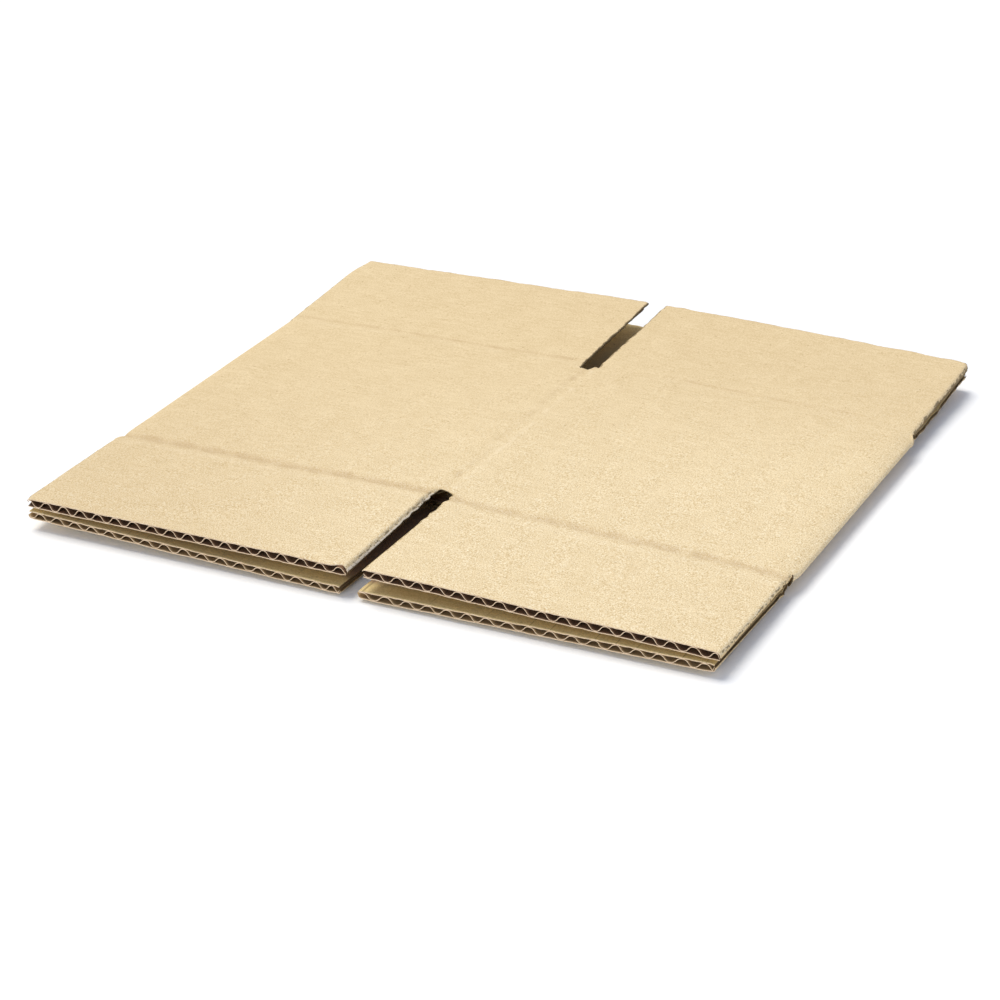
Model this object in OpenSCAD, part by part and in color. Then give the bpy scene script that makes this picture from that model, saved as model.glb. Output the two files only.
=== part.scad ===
// A small corrugated carton, glued, folded flat and lying on a table.
// One sheet of single-wall board makes it: two panels above, two below, a flap at each
// end of every panel. X runs from fold to fold, Y along the flutes, Z up. Millimetres.

/* [Carton] */
// Width of a panel, from crease to crease
panel_w = 105; // [90:1:150]
// Depth of a panel, from flap crease to flap crease
panel_d = 103; // [80:1:160]
// Width of the slots that part the flaps
slot_w = 5; // [4:0.5:7]

/* [Board] */
// Thickness of the board
board_t = 2.1; // [2:0.1:3]
// Thickness of each flat liner
liner_t = 0.3; // [0.2:0.05:0.4]
// Thickness of the wavy paper between the liners
medium_t = 0.25; // [0.2:0.05:0.35]
// Distance from one flute to the next
flute_pitch = 5.8; // [5:0.1:8]
// Where the flutes start beside the middle crease, as a share of the pitch
flute_phase = 0.12; // [0:0.02:1]

/* [Creases] */
// Width of the pressed line between a panel and its flap
crease_w = 5; // [3:0.5:7]
// Depth of that line
crease_depth = 0.5; // [0.3:0.05:0.6]
// Width of the faint crease down the middle of the upper side
mid_crease_w = 3; // [2:0.5:5]
// Depth of the middle crease
mid_crease_depth = 0.25; // [0.1:0.05:0.3]
// Width of the strip beside each fold where the board is pressed thin
fold_w = 4; // [3:0.5:6]
// How far the outer face of that strip sinks towards the fold
fold_press = 0.6; // [0.3:0.1:0.8]

/* [Glued joint] */
// Width of the tab that is glued inside, over the seam
tab_w = 32; // [24:1:36]
// How much shorter the tab is than the panel, at each end
tab_short = 4; // [2:0.5:8]
// Width of the seam between the two lower panels
seam_w = 1; // [0.6:0.2:2]

/* [How it lies] */
// Half width of the part of the underside that lies on the table
rest_half = 16; // [10:1:30]
// Height of the left fold's underside above the table
lift_left = 2.5; // [1:0.1:3.5]
// Height of the right fold's underside above the table
lift_right = 2.3; // [1:0.1:3.5]
// Space between the two layers at the folds
edge_gap = 0.9; // [0.8:0.1:2.5]
// Space between the glued tab and the upper layer
tab_gap = 3; // [1.6:0.1:4]
// How far the far left flap springs up, in degrees
spring_left = 2; // [0.5:0.1:3]
// How far the far right flap springs up, in degrees
spring_right = 2.2; // [0.5:0.1:3]

/* [Hidden] */
// Flaps reach the middle of the panel beside them, so the closed box has no opening
flap_l = panel_w / 2;
full_l = panel_d + 2 * flap_l;
slot_h = slot_w / 2;
// The rounded fold ends inside the slot's width, so each flap is cut clear of it
nose = slot_h - 0.5;
flat_x = panel_w - nose;
// The pressed strip beside a fold starts here, and what a crease adds stays this far below it
strip_x = flat_x - fold_w;
strip_hair = 0.2;
// The board around a crease is pressed solid this far to each side
pressed = 0.8;
// Half a cell's width, and its height between a liner and the wavy paper
cell_h = 0.47 * flute_pitch;
cell_v = board_t - 2 * liner_t - medium_t;
cell_steps = 6;
nose_steps = 10;
last_flute = ceil(panel_w / flute_pitch);
mid_gap = board_t + tab_gap;
// A crease runs this far past a slot's edge, so that the slot cuts it off cleanly
crease_over = 0.6;
crease_step = 0.03;
// The far upper flaps leave their panels at a bar of pressed board: half its width, how
// far it reaches into panel and flap, and where the panel starts again beside the fold
bar_h = 0.24 * crease_w;
bar_lap = 0.16 * crease_w;
bar_end = panel_w - slot_h + crease_over / 4;
far_crease = panel_d / 2;
// The wall of the pressed fold at its outermost line
fold_wall = 1;
// The tab sinks into the glue, starts this far past the seam, and tapers at its ends
tab_sink = 0.1;
tab_root = 3;
tab_taper = 6;
tab_knee = min(rest_half, tab_w - 1);
// Room beyond the carton for cuts that go right through
margin = 10;
tall = 5 * margin;

// Underside of the lower layer: flat where it rests, then rising to the folds
function lift(x) = x < 0 ? lift_left : lift_right;
function low_z(x) = lift(x) * max(0, abs(x) - rest_half) / (panel_w - rest_half);

// Underside of the upper layer: a low ridge over the glued tab
function fold_z(x) = lift(x) + board_t + edge_gap;
function mid_z() = board_t + mid_gap;
function up_z(x) = mid_z() + (fold_z(x) - mid_z()) * abs(x) / panel_w;

// A point of a layer at height v in its board
function in_low(x, v) = [x, low_z(x) + v];
function in_up(x, v) = [x, up_z(x) + v];

// Centres of the flutes that are clear of the middle and of the pressed strips at both folds
function centres(shift) = [
    for (k = [-last_flute : last_flute])
        let (x = (k + flute_phase + shift) * flute_pitch)
        if (abs(x) > pressed + cell_h && abs(x) < strip_x - cell_h) x
];

// Edge of one open cell: an arch on the lower liner, or a trough under the upper one
function cell_v_at(u) = liner_t + cell_v * (0.5 + 0.5 * cos(180 * u / cell_h));
function cell(x, arch, upper) = [
    for (j = [0 : cell_steps])
        let (u = cell_h * (2 * j / cell_steps - 1))
        let (v = arch ? cell_v_at(u) : board_t - cell_v_at(u))
        upper ? in_up(x + u, v) : in_low(x + u, v)
];

// All the cells of a layer, those on one side only if side is -1 or 1
function cells(upper, side) = concat(
    [for (x = centres(0)) if (x * side >= 0) cell(x, true, upper)],
    [for (x = centres(0.5)) if (x * side >= 0) cell(x, false, upper)]
);

// Half of a long rounded fold, from the height za to the height zb around its middle
function arc(side, reach, za, zb) = [
    for (j = [0 : nose_steps])
        let (a = 180 * j / nose_steps - 90)
        [side * (flat_x + reach * cos(a)), (za + zb) / 2 + (zb - za) / 2 * sin(a)]
];

function turned(list) = [for (i = [len(list) - 1 : -1 : 0]) list[i]];

// Outer and inner edge of the fold at one side, from the lower layer to the upper one
function fold_out(side) = concat(
    [in_low(side * strip_x, 0)],
    arc(
        side, nose, in_low(side * flat_x, fold_press)[1],
        in_up(side * flat_x, board_t - fold_press)[1]
    ),
    [in_up(side * strip_x, board_t)]
);
function fold_in(side) = arc(
    side, nose - fold_wall, in_low(side * flat_x, board_t)[1], in_up(side * flat_x, 0)[1]
);

// The whole section: from the seam round the right fold, over the top and back
function sleeve_outline() = concat(
    [in_low(seam_w / 2, 0), in_low(rest_half, 0)],
    fold_out(1),
    [
        in_up(mid_crease_w / 2, board_t),
        in_up(0, board_t - mid_crease_depth),
        in_up(-mid_crease_w / 2, board_t)
    ],
    turned(fold_out(-1)),
    [in_low(-rest_half, 0), in_low(-seam_w / 2, 0), in_low(-seam_w / 2, board_t)],
    [in_low(-rest_half, board_t)],
    fold_in(-1),
    [in_up(0, 0)],
    turned(fold_in(1)),
    [in_low(rest_half, board_t), in_low(seam_w / 2, board_t)]
);

// The glued tab: board lying on the lower left panel, from past the seam to its own edge
function tab_z(v) = board_t - tab_sink + v;
function tab_outline() = [
    in_low(-tab_w, tab_z(0)),
    in_low(-tab_knee, tab_z(0)),
    in_low(tab_root, tab_z(0)),
    in_low(tab_root, tab_z(board_t)),
    in_low(-tab_knee, tab_z(board_t)),
    in_low(-tab_w, tab_z(board_t))
];
function tab_cells() = [
    for (shift = [0, 0.5])
        for (x = centres(shift))
            if (x < 0 && x > -tab_w + pressed + cell_h)
                [for (p = cell(x, shift == 0, false)) p + [0, tab_z(0)]]
];

// A height that passes between the two layers at one side
function between_layers(side) =
    (low_z(side * panel_w) + board_t + min(fold_z(side), mid_z())) / 2;

// Indices of several loops that follow each other in one list of points
function starts(loops, i) = i == 0 ? 0 : starts(loops, i - 1) + len(loops[i - 1]);
function joined(loops) = [for (loop = loops) each loop];
function paths_of(loops) = [
    for (i = [0 : len(loops) - 1])
        let (first = starts(loops, i))
        [for (k = [0 : len(loops[i]) - 1]) first + k]
];

module outline_with_cells(outline, holes) {
    loops = concat([outline], holes);
    polygon(points = joined(loops), paths = paths_of(loops));
}

// Draws an XZ section along Y, from y0 to y1
module along_y(y0, y1) {
    translate([0, y1, 0])
        rotate([90, 0, 0])
            linear_extrude(height = y1 - y0)
                children();
}

// Draws a YZ profile along a straight line in the XZ plane, whichever end is given first
module along_x(line) {
    from = line[0][0] < line[1][0] ? line[0] : line[1];
    to = line[0][0] < line[1][0] ? line[1] : line[0];
    run = to - from;
    translate([from[0], 0, from[1]])
        rotate([0, -atan2(run[1], run[0]), 0])
            rotate([90, 0, 90])
                linear_extrude(height = norm(run))
                    children();
}

// Upper layer of one side, as far as its flap is cut
function flap_outline(side) = [
    in_up(side * pressed, 0),
    in_up(side * flat_x, 0),
    in_up(side * flat_x, board_t - fold_press),
    in_up(side * strip_x, board_t),
    in_up(side * pressed, board_t)
];

// A point of the rising part of the underside, or of its straight continuation. The crease
// is a hair shallower there, so that it doesn't share its corners with the flat part's crease
function beside(side, x) = [
    side * x,
    lift(side) * (x - rest_half) / (panel_w - rest_half) - crease_step
];

// The straight lines of the flap creases at one side: on the top, then on the underside
function top_line(side) = [
    in_up(side * (slot_h - crease_over), board_t),
    in_up(side * (panel_w - slot_h + crease_over / 2), board_t)
];
// The line of a far bar starts inside its crease, which so cuts right over the bar's end
function bar_line(side) = [
    in_up(side * (slot_h - crease_over / 2), board_t),
    top_line(side)[1]
];
function rest_line(side) = [
    [side * (slot_h - crease_over), 0],
    [side * (rest_half + crease_over), 0]
];
function rise_line(side) = [
    beside(side, rest_half - crease_over),
    beside(side, panel_w - slot_h + crease_over / 2)
];

// The liner where a crease has pressed it down into the flutes
module pressed_liner(out) {
    polygon([
        [-crease_w / 2, -out * liner_t / 2],
        [crease_w / 2, -out * liner_t / 2],
        [0, -out * (crease_depth + liner_t)]
    ]);
}

// What the crease presses away: a shallow V that opens past the board's face
module crease_cut(out) {
    polygon([
        [0, -out * crease_depth],
        [crease_w, out * crease_depth],
        [-crease_w, out * crease_depth]
    ]);
}

// What lies outside the pressed strips at one side, above them and below them. The slope goes
// on at the same rate past the fold
function sunk(x) = fold_press * (x - strip_x) / fold_w + strip_hair;
function outside_strip(side, upper) = [
    for (x = [strip_x, panel_w])
        upper ? in_up(side * x, board_t - sunk(x)) : in_low(side * x, sunk(x))
];
module outside_strips() {
    for (side = [-1, 1])
        for (upper = [true, false])
            let (edge = outside_strip(side, upper))
            let (away = [0, upper ? margin : -margin])
            along_y(-full_l / 2, full_l / 2)
                polygon(concat(edge, [edge[1] + away, edge[0] + away]));
}

// Draws a profile along the flap creases of the lower layer, and of one end of the upper one
module on_low_creases() {
    for (side = [-1, 1])
        for (end = [-1, 1])
            for (line = [rest_line(side), rise_line(side)])
                translate([0, end * panel_d / 2, 0])
                    along_x(line)
                        children();
}

module on_top_creases(end) {
    for (side = [-1, 1])
        translate([0, end * panel_d / 2, 0])
            along_x(top_line(side))
                children();
}

// The folded sleeve of board with its open flutes, without the far upper flaps
module sleeve() {
    difference() {
        along_y(-full_l / 2, full_l / 2)
            outline_with_cells(sleeve_outline(), concat(cells(true, 0), cells(false, 0)));
        for (side = [-1, 1])
            translate([side < 0 ? -bar_end : 0, far_crease - bar_h, between_layers(side)])
                cube([bar_end, full_l, tall]);
    }
}

// A far upper flap, sprung up a little at its crease
module far_flap(side, angle) {
    hinge_z = up_z(side * panel_w / 2) + board_t / 2;
    translate([0, far_crease, hinge_z])
        rotate([angle, 0, 0])
            translate([0, -far_crease, -hinge_z])
                along_y(far_crease + bar_h, full_l / 2)
                    outline_with_cells(flap_outline(side), cells(true, side));
}

// The bar of pressed board between a far upper flap and its panel
module far_bars() {
    half_t = board_t / 2 - liner_t / 3;
    for (side = [-1, 1])
        translate([0, far_crease, 0])
            along_x(bar_line(side))
                translate([0, -board_t / 2])
                    square([2 * (bar_h + bar_lap), 2 * half_t], center = true);
}

// Board that the creases have pressed down into the flutes
module crease_board() {
    difference() {
        union() {
            on_low_creases()
                pressed_liner(-1);
            on_top_creases(-1)
                pressed_liner(1);
            far_bars();
        }
        outside_strips();
    }
}

// The tab that continues the lower right panel and is glued inside the lower left one
module glue_tab() {
    half_l = panel_d / 2 - tab_short;
    intersection() {
        along_y(-half_l, half_l)
            outline_with_cells(tab_outline(), tab_cells());
        linear_extrude(height = tall)
            polygon([
                [tab_root + 1, -half_l - 1],
                [tab_root + 1, half_l + 1],
                [-tab_root, half_l],
                [-tab_w, half_l - tab_taper],
                [-tab_w, -half_l + tab_taper],
                [-tab_root, -half_l]
            ]);
    }
}

// Cuts that part the flaps, in the middle and at both folds, through both layers
module slots() {
    for (x = [-panel_w, 0, panel_w])
        for (y = [-panel_d / 2 - full_l, panel_d / 2])
            translate([x - slot_h, y, -margin])
                cube([slot_w, full_l, tall]);
}

// The carton with its creases pressed in, before the flaps are parted
module creased_carton() {
    difference() {
        union() {
            sleeve();
            crease_board();
            far_flap(-1, spring_left);
            far_flap(1, spring_right);
            glue_tab();
        }
        on_low_creases()
            crease_cut(-1);
        for (end = [-1, 1])
            on_top_creases(end)
                crease_cut(1);
    }
}

module flattened_carton() {
    color("#d8b98c")
        difference() {
            creased_carton();
            slots();
        }
}

flattened_carton();
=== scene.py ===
# %% [markdown]
# # A small corrugated carton, folded flat
# One sheet of single-wall board makes the whole carton: two flat papers, the liners, with a wavy
# paper between them. It was slotted, creased, folded round, glued and shipped flat. This lesson
# builds the three papers as surfaces on one flat blank and folds that blank by a formula, so that
# the open flutes, the creases and the slots all come from the sheet itself.

import math

import bpy
import numpy as np
from mathutils import Matrix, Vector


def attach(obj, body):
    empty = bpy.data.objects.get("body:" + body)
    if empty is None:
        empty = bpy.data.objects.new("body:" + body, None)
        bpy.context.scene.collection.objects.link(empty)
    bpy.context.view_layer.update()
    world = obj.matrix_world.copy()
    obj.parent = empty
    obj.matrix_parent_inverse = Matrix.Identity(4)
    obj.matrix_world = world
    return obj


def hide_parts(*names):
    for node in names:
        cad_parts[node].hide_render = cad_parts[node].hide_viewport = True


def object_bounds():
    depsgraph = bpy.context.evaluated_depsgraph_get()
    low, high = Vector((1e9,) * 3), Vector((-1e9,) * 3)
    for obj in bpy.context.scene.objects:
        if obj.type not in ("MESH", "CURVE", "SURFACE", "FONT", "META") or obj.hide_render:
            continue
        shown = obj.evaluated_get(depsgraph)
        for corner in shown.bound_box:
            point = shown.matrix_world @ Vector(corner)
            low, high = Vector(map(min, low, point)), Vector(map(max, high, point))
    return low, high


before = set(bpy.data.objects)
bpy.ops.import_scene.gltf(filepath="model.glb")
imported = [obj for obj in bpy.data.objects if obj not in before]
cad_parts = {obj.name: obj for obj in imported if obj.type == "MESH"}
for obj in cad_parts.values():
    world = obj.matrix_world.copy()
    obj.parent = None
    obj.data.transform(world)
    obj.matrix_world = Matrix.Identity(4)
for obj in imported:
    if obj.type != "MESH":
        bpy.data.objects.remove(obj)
cad_low, cad_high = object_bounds()
print("CAD box, m:", [round(c, 5) for c in (*cad_low, *cad_high)])

# %% [markdown]
# ## Sizes
# The panel width, the reach of the flaps and the greatest height come from the CAD box, so that the
# papers fit the solid. A flap is half a panel long, because two of them meet in the middle of a
# closed carton. The board is B flute: waves about 5.8 mm apart, pressed to 2.1 mm by storage.
# Everything below is in millimetres, and the meshes are scaled to metres when they are made.

# %% Sizes of the carton and of its board
MM = 0.001
panel_w = (cad_high[0] - cad_low[0]) / 2 / MM
end_y = -cad_low[1] / MM
crease_y = end_y - panel_w / 2
top_z = cad_high[2] / MM
slot_half = 2.5
board_t = 2.1
liner_t = 0.26
medium_t = 0.2
print("panel", panel_w, "mm, flap crease at", crease_y, "mm, cut end at", end_y, "mm")

# %% [markdown]
# ## Unevenness
# Board is never quite flat or even. A noise texture could only paint that, so the mesh itself is
# uneven here. A sum of plane waves in random directions gives a smooth relief of a chosen size, and
# straight lines between random heights give a rough edge. Both come from a seeded generator, so
# each run gives the same carton. A soft step and a bell curve keep each change to its place.


# %% Random relief
def relief(a, b, size, seed, waves=12):
    """Sum of plane waves about `size` mm long, in random directions and phases, of spread 1."""
    rng = np.random.default_rng(seed)
    turn = rng.uniform(0, 2 * np.pi, waves)
    rate = 2 * np.pi / (size * rng.uniform(0.7, 1.4, waves))
    shift = rng.uniform(0, 2 * np.pi, waves)
    run = np.asarray(a)[..., None] * np.cos(turn) + np.asarray(b)[..., None] * np.sin(turn)
    return np.cos(run * rate + shift).sum(-1) / math.sqrt(waves / 2)


def uneven(s, step, seed):
    """Random heights of spread 1 at every `step` mm along s, joined by straight lines."""
    rng = np.random.default_rng(seed)
    knots = np.arange(-60, 5 * panel_w, step)
    return np.interp(s, knots, rng.normal(0, 1, len(knots)))


print("relief sample:", relief(np.arange(3.0), np.zeros(3), 5, 1).round(2))


# %% Soft step and bell
def inside(depth, run):
    """0 outside an edge, rising smoothly to 1 at `run` mm inside it."""
    s = np.clip(depth / run, 0, 1)
    return s * s * (3 - 2 * s)


def bell(s, width):
    """1 where s is 0, falling to 0.37 at a distance of `width`."""
    return np.exp(-((s / width) ** 2))


print("soft step:", inside(np.arange(3.0), 2.0), "bell:", bell(np.arange(3.0), 2.0).round(2))

# %% [markdown]
# ## How the carton lies
# The two layers are not parallel planes. The upper one is a low roof over the glued joint, the
# flaps spring up a little from their creases, and the lower one rests in the middle and lifts at
# the folds. A smooth surface through the corners would sag, and stiff board doesn't. So heights at
# the creases and cut ends are joined by straight lines, rounded a little at each crease.

# %% Heights of the two layers
ridge_half = 3.0
rest_half = 8.0
rows_y = np.array([-end_y, -crease_y, crease_y, end_y])
# Each list goes from the near cut end over the two creases to the far cut end.
top_left_fold = np.array([9.5, 7.3, 7.0, 9.0])
top_left_mid = np.array([9.25, 10.04, 9.2, 11.25])
top_right_mid = np.array([9.85, 10.04, 9.2, 11.4])
top_right_fold = np.array([7.95, 6.8, 7.2, 9.3])
under_left_fold = np.array([3.55, 2.7, 2.5, 3.1])
under_mid = np.array([0.9, 0.0, 0.0, 0.2])
under_right_fold = np.array([1.85, 2.2, 2.6, 3.4])


def along_rows(y, heights, soft=2.5):
    """Height at y: straight from row to row, averaged over `soft` mm to both sides of y."""
    spread = np.linspace(-soft, soft, 5)
    return np.mean([np.interp(y + d, rows_y, heights) for d in spread], axis=0)


def upper_top(x, y):
    """Outer face of the upper layer: a roof from the rounded middle crease down to both folds."""
    share = (np.sqrt(x * x + ridge_half**2) - ridge_half) / (panel_w - ridge_half)
    left = along_rows(y, top_left_mid) * (1 - share) + along_rows(y, top_left_fold) * share
    right = along_rows(y, top_right_mid) * (1 - share) + along_rows(y, top_right_fold) * share
    return np.where(x < 0, left, right) + 0.05 * relief(x, y, 55, 11) + 0.02 * relief(x, y, 17, 12)


def lower_under(x, y):
    """Outer face of the lower layer: flat near the seam, then rising to both folds."""
    share = np.clip((np.abs(x) - rest_half) / (panel_w - rest_half), 0, 1)
    fold = np.where(x < 0, along_rows(y, under_left_fold), along_rows(y, under_right_fold))
    return along_rows(y, under_mid) * (1 - share) + fold * share


print("roof at the middle:", upper_top(np.zeros(1), np.zeros(1)).round(2), "mm")

# %% [markdown]
# ## Folding the blank
# The blank is measured by u, round the carton from the seam, and by y, along the flutes. v is the
# height in the board, from its inner face to its outer one. Two half turns fold it: at u = one
# panel and at u = three panels. A bend modifier could turn the sheet, but not into layers of
# uneven height. So a formula takes each point round a flattened arc from one layer to the other.

# %% The fold
fold_reach = 2.0
fold_wall = 0.6
fold_blend = 4.0
bulge_at_ends = 0.4
fold_bulge = {"right": 1.95, "left": 1.4}
fold_lean = {"right": 1.1, "left": 0.0}
tab_step = 3.2


def across(u):
    """x of blank column u when the carton lies flat: out to a fold and back, on each side."""
    right = np.minimum(u, 2 * panel_w - u)
    left = -np.minimum(u - 2 * panel_w, 4 * panel_w - u)
    return np.where(u < 2 * panel_w, right, left)


def lap_step(u, y):
    """Share of a board's thickness by which the glue tab is lifted over the panel it is glued to."""
    return inside(tab_step - u, tab_step - 0.2) * (np.abs(y) <= crease_y)


def folded(u, y, v):
    """Place of blank point (u, y, v): x runs out to a fold and back, z swings from layer to layer.

    The flaps beyond the creases are cut free, so they stay flat out to their edges.
    """
    right = u < 2 * panel_w
    side = np.where(right, 1.0, -1.0)
    turn = np.where(right, u - panel_w, 3 * panel_w - u) / fold_reach
    flat = inside(np.abs(y) - crease_y, fold_blend)
    along = np.minimum(panel_w - np.abs(turn) * fold_reach, panel_w - fold_reach * (1 - flat))
    angle = (np.clip(turn, -1, 1) * (1 - flat) + np.sign(turn) * flat) * np.pi / 2
    bulge = np.where(right, fold_bulge["right"], fold_bulge["left"]) - fold_wall * (1 - v / board_t)
    bulge = bulge * (bulge_at_ends + (1 - bulge_at_ends) * inside(crease_y + 1 - np.abs(y), 6))
    below = lower_under(side * along, y) + board_t - v + board_t * lap_step(u, y)
    above = upper_top(side * along, y) - board_t + v
    near_fold = bell(turn * fold_reach, 6) * inside(crease_y + fold_blend - np.abs(y), fold_blend)
    lean = np.where(right, fold_lean["right"], fold_lean["left"]) * near_fold
    x = side * (along + bulge * np.cos(angle) - lean * (1 - np.sin(angle)) / 2)
    z = (below + above) / 2 + (above - below) / 2 * np.sin(angle)
    return np.stack([x, y, np.clip(z, 0, top_z)], -1)


print("a point of the right fold:", folded(np.array([panel_w]), np.zeros(1), np.array([board_t])))

# %% [markdown]
# ## Flutes
# The wavy paper touches each liner once per wave. One sine of an even pitch would do for new board,
# but this board was pressed and pulled, so no two waves are quite alike. The waves are counted at
# a few columns along the cut ends, and straight lines between the counts give the wave's angle.

# %% Angle of the wave
tab_w = 32.0
wave_u = np.array([-tab_w, 21.3, 38.4, 86.7, 99.3, 114.1, 185.9, 283.3, 305.4, 328.0, 344.6, 4 * panel_w])
wave_count = np.array([-8.5, 0.5, 3.5, 11.5, 13.5, 16.0, 28.0, 45.0, 49.0, 52.5, 55.5, 68.5])


def flute_angle(u):
    """Angle of the wave at u: a full turn each wave, the waves counted along the cut ends."""
    return 2 * np.pi * (np.interp(u, wave_u, wave_count) + 0.02 * uneven(u, 2.9, 21))


print("mean pitch:", round(np.ptp(wave_u) / np.ptp(wave_count), 2), "mm")

# %% [markdown]
# ## Pressed edges
# Slotting knives and the guillotine pinch the board beside a cut, roll the outer liner over the
# edge of a slot, and crush a corner. At the cut ends the board has sprung back a little from the
# press of storage. These could be sculpted, but as small changes of v on the flat blank they reach
# all three papers alike, so the papers stay glued together.

# %% Board beside its cuts
# A point closer to an edge than this counts as on it.
touch = 0.01


def from_slot(u):
    """Distance of u from the nearest edge of a slot."""
    return np.abs(np.abs((u + panel_w / 2) % panel_w - panel_w / 2) - slot_half)


def on_flap(y):
    """True on the flaps and along their creases."""
    return np.abs(y) > crease_y - touch


def beside_slot(u, y, run):
    """1 at the edge of a slot and fading over `run` mm into the flap: a bell curve."""
    return bell(from_slot(u), run) * on_flap(y)


def pinch(u, y):
    """How much thinner the board is beside its cut ends and slots: bell curves of the distance."""
    lower = (np.abs(u - 2 * panel_w) > panel_w) & (y < 0)
    more = np.where(lower, 0.1 + 0.14 * uneven(u, 7.0, 33), 0.04 + 0.08 * uneven(u, 4.0, 31))
    return bell(end_y - np.abs(y), 1.3) * more + 0.1 * beside_slot(u, y, 1.5)


def sprung(u, y):
    """How far the inner face stands off near a cut end, where less has pressed the board."""
    upper = np.abs(u - 2 * panel_w) < panel_w
    return np.where(upper, 0.5, 0.3) * bell(end_y - np.abs(y), 14)


print("sprung at the near end:", sprung(np.array([250.0]), np.array([-end_y])), "mm")


# %% Rolled and crushed edges
def open_corner(u, y):
    """1 at the crushed near corner of the left flap, beside the slot: a bell curve around it."""
    return bell(u - 2 * panel_w - slot_half - 1.9, 1.5) * bell(y + end_y, 1.6)


def bevel(u, y):
    """How far the knives pressed the outer liner down, at each slot edge of the upper layer."""
    w, s = panel_w, slot_half
    edges = [w + s, 2 * w - s - 3, 2 * w - s, 2 * w + s, 2 * w + s + 3, 3 * w - s - 3, 3 * w - s]
    near = np.interp(u, edges, [1.6, 0.3, 0.3, 1.3, 1.3, 0.6, 0.6])
    far = np.interp(u, edges, [1.6, 0.3, 0.3, 0.2, 0.2, 0.6, 0.6])
    wide = (np.abs(u - 2 * w - s) < 3) & (y < 0)
    lip = np.where(wide, beside_slot(u, y, 0.6), beside_slot(u, y, 0.3))
    return np.where(y < 0, near, far) * lip * (1 + 0.15 * uneven(y, 1.5, 32))


print("bevel at the near slot:", bevel(np.array([2 * panel_w + slot_half]), np.array([-80.0])).round(2), "mm")

# %% [markdown]
# ## Creases
# Creasing rules press a groove across the flutes at every flap, and each fold presses the board
# beside it. A bump map could hint at this, but a real groove also catches the light from other
# sides. Its floor is darkened by painted shade and its rim lightened by a painted highlight, as
# light from behind would show a deeper groove. So the depth and the painted tone are both bell
# curves of the distance from a crease that wanders a little.


# %% Grooves
def pressed_fold(u, y):
    """How much the outer face sinks beside the two folds: bell curves, far weaker on the flaps."""
    off = np.minimum(np.abs(u - panel_w), np.abs(u - 3 * panel_w))
    panel = 0.15 + 0.85 * inside(crease_y + 1 - np.abs(y), 3)
    depth = np.where(u < 2 * panel_w, 1.15, 0.75)
    return depth * bell(off, 3.6) * panel


def wander(u, y):
    """How far a crease strays from its line."""
    return 0.25 * relief(u, y, 30, 41)


def off_near_crease(u, y):
    """Distance from the near crease, which lies further out at the right and slants at the left."""
    stops = [2 * panel_w - 4, 2 * panel_w + 4, 3 * panel_w]
    line = np.interp(u, stops, [crease_y + 2.4, crease_y + 0.9, crease_y - 1.6])
    return y + line + wander(u, y)


def groove(u, y):
    """Depth of the creases in the outer face: bell curves across y, and a faint one along u."""
    near = bell(off_near_crease(u, y), 2.0) * (0.3 + 0.1 * np.cos(flute_angle(u)))
    far = bell(y - crease_y - 2.2 + wander(u, y), 1.1) * 0.12
    middle = bell(u - 2 * panel_w + 0.4 + wander(u, y), 1.6) * 0.12
    return near + far + middle


print("groove of the near crease:", groove(np.array([250.0]), np.array([-crease_y])).round(2), "mm")


# %% Painted shade and highlight of the creases
def crease_shade_and_highlight(u, y):
    """Painted shade along each crease and a painted highlight on its rim, as light from behind gives a
    groove.
    """
    off = off_near_crease(u, y)
    near = bell(off, 2.4) * (0.9 + 0.25 * relief(u, y, 9, 43)) - 0.17 * bell(off + 4.6, 1.6)
    far = 0.85 * bell(y - crease_y - 2.9, 1.0) - 0.13 * bell(y - crease_y + 0.3, 1.3)
    x = across(u)
    far = far * np.where(x > 0, 0.75 * inside(x - 12, 22) * inside(94 - x, 18), 1.0)
    middle = 0.6 * bell(u - 2 * panel_w - 0.8, 1.8) - 0.3 * bell(u - 2 * panel_w + 1.8, 1.4)
    middle = middle * (0.6 + 0.5 * relief(u, y, 6, 45)) * (np.abs(y) < crease_y)
    return near + far * (0.9 + 0.3 * relief(u, y, 9, 44)) + middle


print("tone of the near crease:", crease_shade_and_highlight(np.array([250.0]), np.array([-crease_y])).round(2))

# %% [markdown]
# ## Faces of the board
# The outer and the inner face are the two sides of the board less all that is pressed into them,
# and each sinks a hair between its glue lines. The wavy paper could be a sine of a fixed height,
# but then it would cut through the liners at a crease. Here it swings between the two faces as
# they are, so it is crushed wherever the board is.


# %% Heights in the board
def outer_v(u, y):
    """Height of the outer face: the board's thickness less what is pressed, at most to the papers."""
    sunk = groove(u, y) + pressed_fold(u, y) + pinch(u, y) / 2 + bevel(u, y)
    most = board_t - inner_v(u, y) - 2 * liner_t - medium_t - 0.1
    return board_t - np.minimum(sunk, most) - 0.015 * (1 - np.cos(flute_angle(u)))


def inner_v(u, y):
    """Height of the inner face: half of the pinch, less what has sprung back."""
    return pinch(u, y) / 2 - sprung(u, y) + 0.03 * (1 + np.cos(flute_angle(u)))


def wave_v(u, y, steep=1.3):
    """Middle of the wavy paper: swings between the liners, with crests flattened by a tanh."""
    low = inner_v(u, y) + liner_t + medium_t / 2
    high = outer_v(u, y) - liner_t - medium_t / 2
    swing = 0.5 + 0.5 * np.tanh(steep * np.cos(flute_angle(u))) / math.tanh(steep)
    return low + (high - low) * swing


print("board at a panel's middle:", (outer_v(250.0, 0.0) - inner_v(250.0, 0.0)).round(2), "mm")

# %% [markdown]
# ## Grid of the blank
# Each paper is a grid on the blank with the slots left out. An even grid fine enough for the cut
# edges would have millions of faces. So the grid lines lie on the slot edges, crowd together at the
# creases, the folds and the cut ends, and are wide apart where the board is plain.

# %% Grid lines
seam_w = 1.0
slot_rim = 1.8


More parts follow.
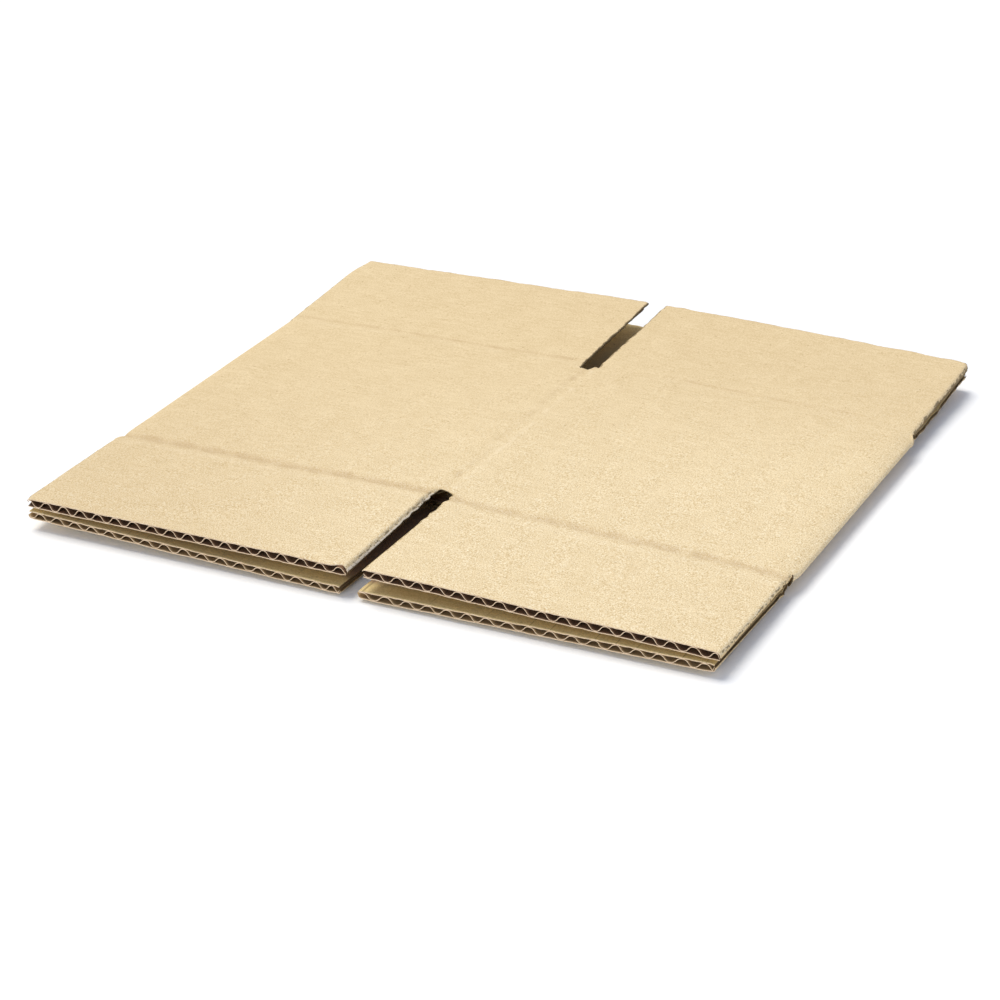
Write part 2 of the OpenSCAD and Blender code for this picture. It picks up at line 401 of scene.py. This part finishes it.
def marks(stops, steps):
    """Numbers from stop to stop, each span divided evenly into parts no longer than its step."""
    spans = zip(stops[:-1], stops[1:], steps)
    parts = [np.linspace(a, b, math.ceil((b - a) / s), endpoint=False) for a, b, s in spans]
    return np.concatenate([*parts, stops[-1:]])


def blank_u(fine, coarse):
    """Lines round the carton: `coarse` steps in the lower layer, `fine` ones in the upper."""
    w, s, f = panel_w, slot_half, fold_reach
    b = s + slot_rim
    low = [s, b, w - b, w - s, w - f]
    stops = [-tab_w, 0.0, *low]
    stops += [w + f, w + s, w + b, 2 * w - b, 2 * w - s, 2 * w + s, 2 * w + b, 3 * w - b, 3 * w - s]
    stops += [3 * w - f, *(4 * w - np.array(low[::-1])), 4 * w - seam_w]
    edge = min(0.45, fine)
    lower, upper = [edge, coarse, edge, 0.5], [0.5, edge, fine, edge, 0.6, edge, fine, edge, 0.5]
    steps = [coarse, 0.8, *lower, 0.34, *upper, 0.34, *lower[::-1], 0.8]
    return marks(np.array(stops), steps)


def blank_y(step):
    """Lines along the flutes: `step` apart, closer at the creases and the cut ends."""
    e, c = end_y, crease_y
    stops = [-e, -e + 3, -c - 8, -c, -c + 4, c - 4, c, c + 5, e - 2, e]
    return marks(np.array(stops), [0.75, step, 0.9, 0.8, step, 0.8, 0.8, step, 0.7])


def kept(u, y):
    """Which cells of the grid are board: all of the panels and the tab, and the flaps beside slots."""
    mid_u = ((u[:-1] + u[1:]) / 2)[:, None]
    mid_y = ((y[:-1] + y[1:]) / 2)[None, :]
    from_crease = np.abs((mid_u + panel_w / 2) % panel_w - panel_w / 2)
    return (np.abs(mid_y) < crease_y) | ((from_crease > slot_half) & (mid_u > 0))


print("grid of a liner:", len(blank_u(0.97, 1.93)), "by", len(blank_y(2.6)))

# %% [markdown]
# ## Where the knives went
# On a carton like this no slot is quite straight: its edges lean, are nicked and rough, and it ends
# in a rounded or a torn corner. A boolean cut would leave slivers in so fine a mesh. Instead the
# grid lines that lie on an edge are moved to where the knife really went, with their neighbours.


# %% Slot edges
def edge_shift(u, y):
    """Shift of u at the slot edges: each leans from crease to end, is nicked, and is rough."""
    w, s = panel_w, slot_half
    # Edge, direction into the board, near or far end, shift at the crease and at the cut end.
    leans = (
        (3 * w - s, -1, -1, 1.6, -0.4),
        (3 * w - s, -1, 1, 0.9, 1.6),
        (3 * w + s, 1, -1, -0.5, 1.25),
        (w + s, 1, -1, -0.5, -0.7),
        (w + s, 1, 1, -0.5, -0.9),
        (2 * w - s, -1, -1, -0.9, 0.4),
        (2 * w - s, -1, 1, 0.0, -0.7),
        (w - s, -1, -1, 0.5, -0.3),
        (w - s, -1, 1, 0.3, -0.2),
        (s, 1, -1, -1.6, -1.6),
        (4 * w - s, -1, -1, -1.0, -1.6),
    )
    # Edge, place along it, reach across and along it, shift.
    nicks = (
        (3 * w - s, -end_y, 3.0, 1.6, -0.5),
        (w + s, end_y, 3.0, 4.0, 0.4),
        (2 * w - s, -84.0, 2.0, 0.9, 0.5),
    )
    share = np.clip((np.abs(y) - crease_y) / (end_y - crease_y), 0, 1)
    du = np.zeros_like(u)
    for edge, inward, end, at_crease, at_end in leans:
        into = (u - edge) * inward
        near = bell(into, 6) * (into > -touch) * (y * end > crease_y - touch)
        du += near * (at_crease + (at_end - at_crease) * share)
    for edge, place, wide, long, shift in nicks:
        du += shift * bell(u - edge, wide) * bell(y - place, long)
    far_left_corner = bell(u - 3 * w + s, 6) * inside(y - end_y + 11, 12) * (u < 3 * w)
    rough = np.where(np.abs(u - 3 * w) < 9, 0.07, 0.22) * uneven(y + 7 * np.round(u / w), 1.3, 51)
    at_slot = bell(from_slot(u), 1.2) * (np.abs(y) > crease_y + 0.5)
    return du - 1.5 * far_left_corner + rough * at_slot


print("near left corner moves", edge_shift(np.array([3 * panel_w - slot_half]), np.array([-end_y])), "mm")


# %% Slot ends and cut ends
def end_shift(u, y):
    """Shift of y: rounded ends of the middle slots, a notch at the right fold, rough cut ends."""
    from_middle, from_fold = u - 2 * panel_w, u - panel_w
    near_u, near_y = [-3, -2.5, -1.6, 0, 1.2, 2.0, 2.5, 3], [0, 0.2, 1.1, 1.7, 1.7, 0.8, 0.2, 0]
    far_u, far_y = [-4, -2.5, -1.4, -0.5, 1, 2.5, 5], [0, 0, 0.4, 3.2, 2.6, 2.2, 0]
    fold_u, fold_y = [-2.5, -1.5, 0, 1.5, 2.5], [0, 3.5, 5, 3.5, 0]
    dy = bell(y + crease_y, 2.5) * np.interp(from_middle, near_u, near_y)
    dy -= bell(y - crease_y, 3) * np.interp(from_middle, far_u, far_y)
    dy -= bell(y - crease_y, 6) * np.interp(from_fold, fold_u, fold_y)
    rough = 0.14 * np.abs(uneven(u, 0.9, 52)) + 0.2 * np.abs(uneven(u, 6.0, 53)) * (y > 0)
    return dy + (end_y - np.abs(y) < touch) * np.sign(-y) * rough


def trimmed(u, y):
    """Grid points moved to the real cut edges."""
    return u + edge_shift(u, y), y + end_shift(u, y)


print("near slot's end moves", end_shift(np.array([2 * panel_w]), np.array([-crease_y])).round(2), "mm")

# %% [markdown]
# ## Marks for the finishes
# A finish has to know where it is on the sheet: how far from a slot, on which layer, on which flute.
# A painted image could say so, but these marks are functions of u and y like the shape, stored
# in the mesh as attributes. They turn and fold with the sheet and look the same from all sides.


# %% Marks of wear, and of painted shade
def edge_mm(u, y):
    """Distance into the flap from the nearest slot edge, 3 mm at most. Less is frayed at the right."""
    less = np.where(u < 1.5 * panel_w, 0.35, 0.12)
    return np.where(on_flap(y), np.minimum(from_slot(u) + less, 3.0), 3.0)


def fibre_paleness_and_shade(u, y):
    """How pale the torn fibres of the nearest slot edge are, from 0 to 1; the low values on the far edges
    give painted shade.
    """
    w = panel_w
    stops = [0.7 * w, w, 1.01 * w, 1.55 * w, 2 * w, 2.01 * w, 2.5 * w, 2.55 * w, 3.1 * w]
    near = np.interp(u, stops, [0.6, 0.6, 0.7, 0.5, 0.5, 0.9, 0.9, 0.4, 0.4])
    far = np.interp(u, stops, [0.0, 0.0, 0.22, 0.3, 0.3, 0.12, 0.12, 0.45, 0.45])
    return np.where(y < 0, near, far)


def shade(u, y):
    """How deep the painted shade of the paper is, 0 to 1: least at the near right, most at the far."""
    x = across(u)
    return np.clip(3.1 - 0.03 * x + 0.0345 * y + 0.00016 * y**2 + 0.00055 * x * y, 0, 8) / 8


def speckle_mark(u, y):
    """How plainly the paper's finest grain shows: most at the near right, hardly at the far."""
    return 0.62 * np.clip(0.55 - 0.0075 * y + 0.004 * across(u), 0, 1)


print("palest fray:", fibre_paleness_and_shade(np.array([2.1 * panel_w]), np.array([-80.0])))


# %% Marks of the inside
def lower_flute_light(u, y):
    """1 on the lower layer, where painted light stands for the light that reaches into the crushed flutes."""
    return (np.abs(u - 2 * panel_w) > panel_w) * 1.0


def painted_slot_and_gap_shade(u, y):
    """How deep the painted shade on the lower layer's inner paper is: a bell under the slots, less in the
    left gap.
    """
    off = np.minimum(np.abs(u), np.abs(4 * panel_w - u))
    near = inside(y + end_y - 2, 9) * inside(9 - crease_y - y, 8)
    far = np.interp(y, [crease_y - 9, crease_y, end_y], [0.0, 0.62, 0.2])
    left_gap = 0.3 * inside(u - 3 * panel_w - 2, 14) * inside(4 * panel_w - 12 - u, 28) * (y < -crease_y)
    return bell(off, 9) * (near + far) + left_gap


def flute_mark(u, y):
    """1 along the line where a flute is glued to the inner liner, falling to -1 between."""
    return -np.cos(flute_angle(u)) + 0 * y


print("shade under the near slot:", painted_slot_and_gap_shade(np.array([0.0]), np.array([-80.0])).round(2))

# %% [markdown]
# ## One sheet of paper
# A Solidify modifier could thicken a surface, but the wavy paper would swell on its slopes and the
# cut edges would have no finish of their own. So a sheet is the same grid at two heights, and a
# strip along every open edge closes it. A cut edge then shows the paper's real thickness.

# %% Closed sheet
tab_short = 4.0
tab_taper = 6.0
finish_marks = (edge_mm, fibre_paleness_and_shade, flute_mark, lower_flute_light, painted_slot_and_gap_shade, crease_shade_and_highlight, shade, speckle_mark)


def open_rim(quads, total):
    """Edges that belong to one quad only, in that quad's order: those whose pair of points is single."""
    edges = quads[:, [0, 1, 1, 2, 2, 3, 3, 0]].reshape(-1, 2)
    keys = np.sort(edges, 1) @ np.array([total, 1])
    first, count = np.unique(keys, return_index=True, return_counts=True)[1:]
    return edges[first[count == 1]]


def sheet_of_paper(name, u, y, v_face, v_back, torn_u=None, torn_y=None):
    """Two copies of the grid, at v_face and v_back, with strips along the open edges."""
    uu, yy = np.meshgrid(u, y, indexing="ij")
    tab_half = crease_y - tab_short - tab_taper * np.clip(-uu / tab_w, 0, 1)
    ut, yt = trimmed(uu, np.where(uu < 0, yy * tab_half / crease_y, yy))
    ut = ut + torn_u(uu, yy) if torn_u else ut
    yt = yt + torn_y(uu, yy) if torn_y else yt
    face, back = folded(ut, yt, v_face(uu, yy)), folded(ut, yt, v_back(uu, yy))
    index = np.arange(uu.size).reshape(uu.shape)
    quads = np.stack([index[:-1, :-1], index[:-1, 1:], index[1:, 1:], index[1:, :-1]], -1)
    used, quads = np.unique(quads[kept(u, y)], return_inverse=True)
    quads = quads.reshape(-1, 4)
    n = len(used)
    rim = open_rim(quads, n)
    strips = np.stack([rim[:, 1], rim[:, 0], rim[:, 0] + n, rim[:, 1] + n], -1)
    faces = np.concatenate([quads, quads[:, ::-1] + n, strips])
    points = np.concatenate([face.reshape(-1, 3)[used], back.reshape(-1, 3)[used]]) * MM
    mesh = bpy.data.meshes.new(name)
    mesh.from_pydata(points.tolist(), [], faces.tolist())
    mesh.polygons.foreach_set("use_smooth", np.arange(len(faces)) < 2 * len(quads))
    cut_end = (end_y - np.abs(yy.ravel()[used][rim])).max(1) < touch
    finish = np.concatenate([np.repeat([0, 1], len(quads)), np.where(cut_end, 2, 3)])
    mesh.polygons.foreach_set("material_index", finish)
    for mark in finish_marks:
        made = mesh.attributes.new(mark.__name__, "FLOAT", "POINT")
        made.data.foreach_set("value", np.tile(mark(uu, yy).ravel()[used], 2))
    piece = bpy.data.objects.new(name, mesh)
    bpy.context.collection.objects.link(piece)
    print(name, len(points), "points,", 2 * len(faces), "triangles")
    return piece


# %% [markdown]
# ## Outer liner
# This is the paper that the eye meets first: smooth, creased, and torn back at one crushed corner.
# A plane with a bump map would look the same from above only. The sheet is finer in the upper
# layer, where the creases catch the light, than under the carton.

# %% Outer liner
outer_liner = sheet_of_paper(
    "outer_liner",
    blank_u(0.97, 1.93),
    blank_y(2.6),
    outer_v,
    lambda u, y: outer_v(u, y) - liner_t,
    torn_y=lambda u, y: 1.3 * open_corner(u, y),
)

# %% [markdown]
# ## Inner liner
# The inner liner shows in the gap between the layers and at the slots, where the knives tore it
# back a little from the outer one. It could share the outer liner's edge, but then the rolled edge
# of a slot would look solid. So the inner papers stop short there by a formula of their own.


# %% Inner liner
def set_back(u, y):
    """How far the inner papers stop short of the outer one at a slot: most where it was torn."""
    side = np.sign((u + panel_w / 2) % panel_w - panel_w / 2)
    every = 0.35 * side * beside_slot(u, y, 2)
    into = u - 2 * panel_w - slot_half
    slot_left = 1.2 * bell(into, 4) * (into > -touch) * inside(y - crease_y, 4)
    into = u - panel_w - slot_half
    far_tip = 1.2 * bell(into, 4) * (into > -touch) * inside(y - end_y + 12, 6)
    return every + slot_left + far_tip


def set_in(u, y):
    """How far the inner papers stop short of the near slot's round end: a bell curve around it."""
    return 3.0 * bell(u - 2 * panel_w, 2.4) * bell(y + crease_y, 3)


inner_liner = sheet_of_paper(
    "inner_liner",
    blank_u(0.97, 0.97),
    blank_y(5.0),
    lambda u, y: inner_v(u, y) + liner_t,
    inner_v,
    torn_u=set_back,
    torn_y=set_in,
)

# %% [markdown]
# ## Wavy paper
# The fluted paper is seen end on, at every cut end, as a thin wave between two lines. An array of
# bent strips could stand in for it, but it is one sheet on the real board, and one sheet here. Its
# thickness is measured along v, so it is made greater where the paper stands steep.


# %% Wavy paper
def wave_half(u, y):
    """Half the wavy paper's thickness along v: its half thickness times the root of 1 + slope squared."""
    d = 0.05
    slope = (wave_v(u + d, y) - wave_v(u - d, y)) / (2 * d)
    return medium_t / 2 * np.sqrt(1 + np.minimum(slope, 2) ** 2)


fluted_medium = sheet_of_paper(
    "fluted_medium",
    blank_u(0.45, 0.45),
    blank_y(12.0),
    lambda u, y: wave_v(u, y) + wave_half(u, y),
    lambda u, y: wave_v(u, y) - wave_half(u, y),
    torn_u=set_back,
    torn_y=set_in,
)

# %% [markdown]
# ## Kraft paper
# Unbleached kraft liner is a matt tan paper, pressed smooth between rollers. Long brown fibres,
# lighter pulp and small dark specks show from close by, and a slow mottling from the paper machine
# shows from a step away. A photo of paper could be wrapped round it, but noise at those sizes has
# no seams: it mixes a few tans, and the finest noise also raises the surface.


# %% Colour and node helpers
def linear(code):
    """A colour from its sRGB hex code: each part is raised by the sRGB curve."""
    c = np.array([int(code[i : i + 2], 16) for i in (1, 3, 5)]) / 255
    return (*np.where(c <= 0.04045, c / 12.92, ((c + 0.055) / 1.055) ** 2.4), 1.0)


def add(tree, kind, inputs=None, **settings):
    """Adds a node, makes its settings, fills its inputs and gives back its outputs.

    A socket is linked, a hex code becomes its colour, and any other value is set as it is.
    """
    made = tree.nodes.new(kind)
    for key, value in settings.items():
        setattr(made, key, value)
    for key, value in (inputs or {}).items():
        if isinstance(value, bpy.types.NodeSocket):
            tree.links.new(value, made.inputs[key])
        else:
            made.inputs[key].default_value = linear(value) if isinstance(value, str) else value
    return made.outputs


def new_material(name):
    """An empty material with its shader, and the tree to build in."""
    made = bpy.data.materials.new(name)
    made.use_nodes = True
    return made, made.node_tree, made.node_tree.nodes["Principled BSDF"]


def stain(tree, mark, span, share, colour, tint):
    """Lays a tint over a colour: over the mark's span its share runs smoothly between the two given."""
    limits = {"From Min": span[0], "From Max": span[1], "To Min": share[0], "To Max": share[1]}
    part = add(tree, "ShaderNodeMapRange", {"Value": mark, **limits}, interpolation_type="SMOOTHSTEP")
    layers = {"Factor": part["Result"], "A": colour, "B": tint}
    return add(tree, "ShaderNodeMix", layers, data_type="RGBA")["Result"]


print("kraft in linear light:", np.round(linear("#E6CFA7"), 3))

# %% Kraft finish
# Real fibres are about 0.04 mm wide. The grain is drawn ten times as coarse, so that it shows.
grain_mm = 0.45
fibre_mm = 1.0
mottle_mm = 9.0
speck_gap_mm = 3.4
relief_mm = 0.08
paper_roughness = 0.9
paper_specular = 0.2


def kraft(name, light, dark, speck, dress=None):
    """Kraft paper: grain, fibres and mottling between two tans, specks of a third, fine relief."""
    made, tree, shader = new_material(name)
    where = add(tree, "ShaderNodeTexCoord")["Object"]
    drawn_out = add(tree, "ShaderNodeMapping", {"Vector": where, "Scale": (0.2, 1.0, 1.0)})["Vector"]
    grit = {"Vector": where, "Scale": 1 / (grain_mm * MM), "Detail": 2.0, "Roughness": 0.6}
    grain = add(tree, "ShaderNodeTexNoise", grit)["Fac"]
    total = grain
    for place, size, detail, weight in ((drawn_out, fibre_mm, 2.0, 0.35), (where, mottle_mm, 3.0, 0.22)):
        lumps = {"Vector": place, "Scale": 1 / (size * MM), "Detail": detail, "Roughness": 0.6}
        layer = add(tree, "ShaderNodeTexNoise", lumps)["Fac"]
        sums = {0: layer, 1: weight, 2: total}
        total = add(tree, "ShaderNodeMath", sums, operation="MULTIPLY_ADD")["Value"]
    colour = stain(tree, total, (0.48, 1.09), (0.0, 1.0), dark, light)
    dots = add(tree, "ShaderNodeTexVoronoi", {"Vector": where, "Scale": 1 / (speck_gap_mm * MM)})
    colour = stain(tree, dots["Distance"], (0.06, 0.13), (0.45, 0.0), colour, speck)
    if dress:
        colour = dress(tree, where, colour)
    bump = {"Height": grain, "Strength": 0.2, "Distance": relief_mm * MM}
    tree.links.new(colour, shader.inputs["Base Color"])
    tree.links.new(add(tree, "ShaderNodeBump", bump)["Normal"], shader.inputs["Normal"])
    shader.inputs["Roughness"].default_value = paper_roughness
    shader.inputs["Specular IOR Level"].default_value = paper_specular
    print("made", name, "with", len(tree.nodes), "nodes")
    return made


# %% [markdown]
# ## Creased and speckled paper
# The outer face gets painted shade along its creases and a painted highlight on their rims, a
# slow painted shade that deepens towards the far side, and a sprinkling of fine light and dark
# fibres. One noise could do the fibres alone, but the creases have a place of their own on the
# sheet. So each tint is laid on by a mark that is stored in the mesh.


# %% Creases and speckles
def painted_shading(tree, colour):
    """Lays painted shade over the far side and along the creases, and a painted highlight on the crease rims.
    """
    tone = add(tree, "ShaderNodeAttribute", attribute_name="crease_shade_and_highlight")["Fac"]
    far = add(tree, "ShaderNodeAttribute", attribute_name="shade")["Fac"]
    # Painted shade, slow across the faces and deepest at the far side.
    colour = stain(tree, far, (0.0, 1.0), (0.0, 0.22), colour, "#B39468")
    # Painted shade along the creases.
    colour = stain(tree, tone, (0.0, 1.2), (0.0, 0.29), colour, "#A8855A")
    # Painted highlight on the crease rims.
    return stain(tree, tone, (-0.4, 0.0), (0.25, 0.0), colour, "#FFEFD2")


def speckled(tree, where, colour, speckle_mm=0.36):
    """Sprinkles the finest light and dark fibres over the paper."""
    grit = {"Vector": where, "Scale": 1 / (speckle_mm * MM), "Detail": 1.0, "Roughness": 0.6}
    fine = add(tree, "ShaderNodeTexNoise", grit)["Fac"]
    most = add(tree, "ShaderNodeAttribute", attribute_name="speckle_mark")["Fac"]
    colour = stain(tree, fine, (0.5, 0.72), (0.0, most), colour, "#B89868")
    return stain(tree, fine, (0.5, 0.28), (0.0, most), colour, "#FFF6DE")


# The colour of the painted crease shade, in linear light.
print("bruised fibres in linear light:", np.round(linear("#A8855A"), 3))

# %% [markdown]
# ## Torn edges
# Slotting knives tear rather than slice. Beside a slot the outer liner is rolled over the edge and
# its broken fibres show pale, with painted shadow in short dashes where it has lifted along the rim.
# On the far edges the fibres get painted shade instead. Loose hairs could be modelled, but at this
# size only their tone shows. The distance from the slot, roughened by noise, decides where the
# fibres start.


# %% Frayed rim
def frayed(tree, where, colour, tuft_mm=0.9, dash_mm=0.8):
    """Lays pale fibres over the rolled edge, and painted shadow in dashes along its rim."""
    colour = painted_shading(tree, speckled(tree, where, colour))
    tufts = {"Vector": where, "Scale": 1 / (tuft_mm * MM), "Detail": 2.0, "Roughness": 0.6}
    rough = add(tree, "ShaderNodeTexNoise", tufts)["Fac"]
    edge = add(tree, "ShaderNodeAttribute", attribute_name="edge_mm")["Fac"]
    sums = {0: rough, 1: 0.5, 2: edge}
    depth = add(tree, "ShaderNodeMath", sums, operation="MULTIPLY_ADD")["Value"]
    pale = add(tree, "ShaderNodeAttribute", attribute_name="fibre_paleness_and_shade")["Fac"]
    # The low end of this ramp is painted shade, for the far edges that lie in shadow; the high end is the
    # pale torn fibres.
    fibres = stain(tree, pale, (0.0, 0.7), (0.0, 1.0), "#4A3A22", "#F0D29C")
    fibres = stain(tree, pale, (0.7, 1.0), (0.0, 1.0), fibres, "#FFF3E0")
    streaks = stain(tree, rough, (0.3, 0.48), (0.0, 1.0), "#9A8664", fibres)
    colour = stain(tree, depth, (0.72, 0.86), (1.0, 0.0), colour, streaks)
    drawn_out = add(tree, "ShaderNodeMapping", {"Vector": where, "Scale": (1.0, 0.4, 1.0)})["Vector"]
    gaps = {"Vector": drawn_out, "Scale": 1 / (dash_mm * MM), "Detail": 1.0, "Roughness": 0.6}
    shadow_dash = add(tree, "ShaderNodeTexNoise", gaps)["Fac"]
    falling = {"Value": depth, "From Min": 0.95, "From Max": 1.1, "To Min": 0.65, "To Max": 0.0}
    beyond = add(tree, "ShaderNodeMapRange", falling, interpolation_type="SMOOTHSTEP")["Result"]
    rising = {"Value": depth, "From Min": 0.7, "From Max": 0.82, "To Min": 0.0, "To Max": beyond}
    rim = add(tree, "ShaderNodeMapRange", rising, interpolation_type="SMOOTHSTEP")["Result"]
    # Painted shadow in short dashes where the rolled edge lifts along its rim.
    return stain(tree, shadow_dash, (0.48, 0.56), (0.0, rim), colour, "#4E3E26")


# The outer liner: unbleached pulp, pressed smooth, so matt tan with a fine grain and frayed edges.
kraft_liner = kraft("kraft_liner_paper", "#F4DEB4", "#D7BE90", "#A98A5C", frayed)

# %% [markdown]
# ## Papers inside
# The inner liner is the same paper, a little greyer, with a dark line where each flute is glued
# behind it. The fluting is thinner, browner paper of used fibres, and it lies in its own shade;
# its colour is darker still, as painted shade for the deep flutes. Light alone could darken both,
# but the lower layer's crushed flutes take more light than deep ones and the paper under a slot
# lies in deeper shade, so two marks paint it there: painted light in the lower flutes, and painted
# shade under the slots and in the left gap.


# %% Inner papers
def lined(tree, where, colour):
    """Draws a darker line along each flute that is glued behind, and lays painted shade on the paper under
    the slots and in the left gap.
    """
    flute = add(tree, "ShaderNodeAttribute", attribute_name="flute_mark")["Fac"]
    slot = add(tree, "ShaderNodeAttribute", attribute_name="painted_slot_and_gap_shade")["Fac"]
    colour = stain(tree, flute, (0.88, 0.99), (0.0, 0.55), colour, "#6F5E3A")
    # Painted shade on the inner paper under the slots and in the left gap.
    return stain(tree, slot, (0.05, 0.7), (0.0, 0.92), colour, "#74584A")


def painted_light_below(tree, where, colour):
    """Lays painted light on the fluted paper of the lower layer, whose crushed flutes take more light."""
    lower = add(tree, "ShaderNodeAttribute", attribute_name="lower_flute_light")["Fac"]
    # Painted light in the lower layer's crushed flutes.
    return stain(tree, lower, (0.0, 1.0), (0.0, 0.5), colour, "#C4A878")


# The inner liner: kraft that never sees the light, so a flat greyish tan ruled by the glue lines.
kraft_inside = kraft("kraft_inner_paper", "#E8D099", "#C8B07C", "#86704A", lined)
# The fluting: used fibres, formed hot between toothed rollers, so a dull mid brown, darkened further as
# painted shade for the deep flutes.
fluting_and_flute_shade = kraft("kraft_fluting_and_flute_shade", "#8A684C", "#6E5038", "#503824", painted_light_below)

# %% [markdown]
# ## Cut edges
# Where a blade went through, the broken fibres stand out pale and a little pink against the tan
# faces. Strips inside a slot are torn and stay brown. Both could be tints on the faces, but an
# edge this thin needs a finish of its own, on the strips that close each sheet.

# %% Cut paper, and which paper goes where
# Guillotined kraft: upright broken fibres, so pale and dull.
cut_paper = kraft("cut_kraft_paper", "#ECD2B2", "#CCAD88", "#A48B6A")
# Torn kraft: fibres pulled out at all angles, so it holds its own shadow and looks brown.
torn_paper = kraft("torn_kraft_paper", "#86704C", "#5E4A2E", "#46361F")
# The liners' faces inside the flutes take the fluting finish too, so they carry its painted shade.
for piece, face, back in (
    (outer_liner, kraft_liner, fluting_and_flute_shade),
    (inner_liner, fluting_and_flute_shade, kraft_inside),
    (fluted_medium, fluting_and_flute_shade, fluting_and_flute_shade),
):
    for finish in (face, back, cut_paper, torn_paper):
        piece.data.materials.append(finish)
    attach(piece, "root")
    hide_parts("flattened_carton")

# %% [markdown]
# ## Floor
# The carton lies on a white paper sweep. A shadow catcher could hide the floor, but a matt white
# plane that the lamps light to white keeps the soft shadow and needs no compositing.

# %% Floor
floor_half = 3.0
floor_drop = 0.05 * MM
floor_grid = np.array([[-1, -1, 0], [1, -1, 0], [1, 1, 0], [-1, 1, 0]]) * floor_half
floor_mesh = bpy.data.meshes.new("white_sweep")
floor_mesh.from_pydata((floor_grid - [0, 0, floor_drop]).tolist(), [], [(0, 1, 2, 3)])
floor = bpy.data.objects.new("white_sweep", floor_mesh)
bpy.context.collection.objects.link(floor)
# Matt white background paper: it shows no gloss at all.
sweep, _, sweep_shader = new_material("matt_white_sweep")
sweep_shader.inputs["Base Color"].default_value = (0.97, 0.97, 0.97, 1.0)
sweep_shader.inputs["Roughness"].default_value = 1.0
sweep_shader.inputs["Specular IOR Level"].default_value = 0.0
floor_mesh.materials.append(sweep)
print("floor", 2 * floor_half, "m wide")

# %% [markdown]
# ## Light
# One broad warm light stands above, a little behind and to the left, so the shadow falls to the
# right and to the front. A weak cool one, low in front, opens the shade between the layers. Area
# lamps could do this, but broad suns light every part of the carton alike, as a large softbox does.


# %% Light
def soft_sun(name, strength, spread, tilt, colour):
    """A broad far lamp: `spread` degrees wide, tipped by `tilt` degrees about x and y."""
    light = bpy.data.lights.new(name, "SUN")
    light.energy, light.angle, light.color = strength, math.radians(spread), colour
    lamp = bpy.data.objects.new(name, light)
    lamp.rotation_euler = (math.radians(tilt[0]), math.radians(tilt[1]), 0)
    bpy.context.collection.objects.link(lamp)
    print(name, "of strength", strength, "and", spread, "degrees wide")


soft_sun("softbox_above", 2.34, 37, (-4, -19), (0.99, 0.945, 0.835))
soft_sun("fill_in_front", 0.95, 16, (74, 0), (0.85, 0.93, 1.0))

# %% Room
world = bpy.data.worlds.new("studio")
bpy.context.scene.world = world
world.use_nodes = True
sky = world.node_tree
sky.nodes.clear()
soft = add(sky, "ShaderNodeBackground", {"Color": (0.68, 0.77, 1.0, 1.0), "Strength": 0.53})
white = add(sky, "ShaderNodeBackground", {"Color": (1.0, 1.0, 1.0, 1.0), "Strength": 1.0})
ray = add(sky, "ShaderNodeLightPath")
seen = ray["Is Camera Ray"]
for other in ("Is Glossy Ray", "Is Transmission Ray"):
    seen = add(sky, "ShaderNodeMath", {0: seen, 1: ray[other]}, operation="MAXIMUM")["Value"]
both = add(sky, "ShaderNodeMixShader", {0: seen, 1: soft["Background"], 2: white["Background"]})
add(sky, "ShaderNodeOutputWorld", {"Surface": both["Shader"]})
bpy.context.scene.view_settings.view_transform = "Standard"
print("room with", len(sky.nodes), "nodes")

# %% [markdown]
# ## Camera
# The picture was taken with a long lens, a good arm's length away, looking down at about 25 degrees.
# Such a lens keeps the far edge nearly as wide as the near one. The camera could be aimed by a
# constraint, but its axes are worked out here from three angles, so nothing is left to evaluate.

# %% Camera
azimuth, elevation, roll = (math.radians(a) for a in (24.915, 24.882, 0.318))
camera_mm = np.array([344.865, -755.823, 371.129])
focal_px, image_px, sensor_mm = 3122.513, 1000, 36.0
level = math.cos(elevation)
forward = np.array([-math.sin(azimuth) * level, math.cos(azimuth) * level, -math.sin(elevation)])
right = np.cross(forward, [0, 0, 1])
right /= np.linalg.norm(right)
up = np.cross(right, forward)
sideways = right * math.cos(roll) + up * math.sin(roll)
upward = up * math.cos(roll) - right * math.sin(roll)
turned = Matrix(np.stack([sideways, upward, -forward], 1).tolist()).to_4x4()
turned.translation = camera_mm * MM
lens = bpy.data.cameras.new("long_lens")
lens.sensor_width = sensor_mm
lens.lens = sensor_mm * focal_px / image_px
lens.clip_start, lens.clip_end = 0.05, 20.0
camera = bpy.data.objects.new("long_lens", lens)
camera.matrix_world = turned
bpy.context.collection.objects.link(camera)
bpy.context.scene.camera = camera
print("lens", round(lens.lens, 2), "mm, camera at", [round(c, 3) for c in turned.translation])
